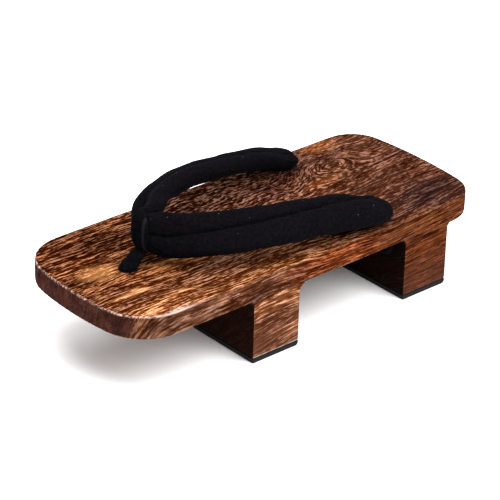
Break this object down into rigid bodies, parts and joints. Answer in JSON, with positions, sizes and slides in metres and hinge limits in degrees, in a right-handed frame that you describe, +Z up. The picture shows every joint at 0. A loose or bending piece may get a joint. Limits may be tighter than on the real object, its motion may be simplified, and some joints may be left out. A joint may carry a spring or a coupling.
{
  "type": "geta sandal",
  "caption": "Wooden geta sandal: a flat deck carved with cross teeth, rubber pads underneath, and a padded V strap bound by a toe loop.",
  "frame": {"origin": "on the floor, under the middle of the deck", "axes": "+Z up, -Y towards the toe, +X across to the sandal's left side"},
  "size_m": [0.0998, 0.24, 0.0781],
  "materials": {
    "burnt_wood": "burnt, brushed and oiled, open grain",
    "black_rubber": "matt sheet rubber",
    "strap_cloth": "padded black cotton velvet",
    "loop_cloth": "black cotton cloth"
  },
  "bodies": {
    "root": {"wood_block": "burnt_wood", "front_pad": "black_rubber", "rear_pad": "black_rubber", "strap": "strap_cloth", "toe_loop": "loop_cloth"}
  },
  "joints": []
}
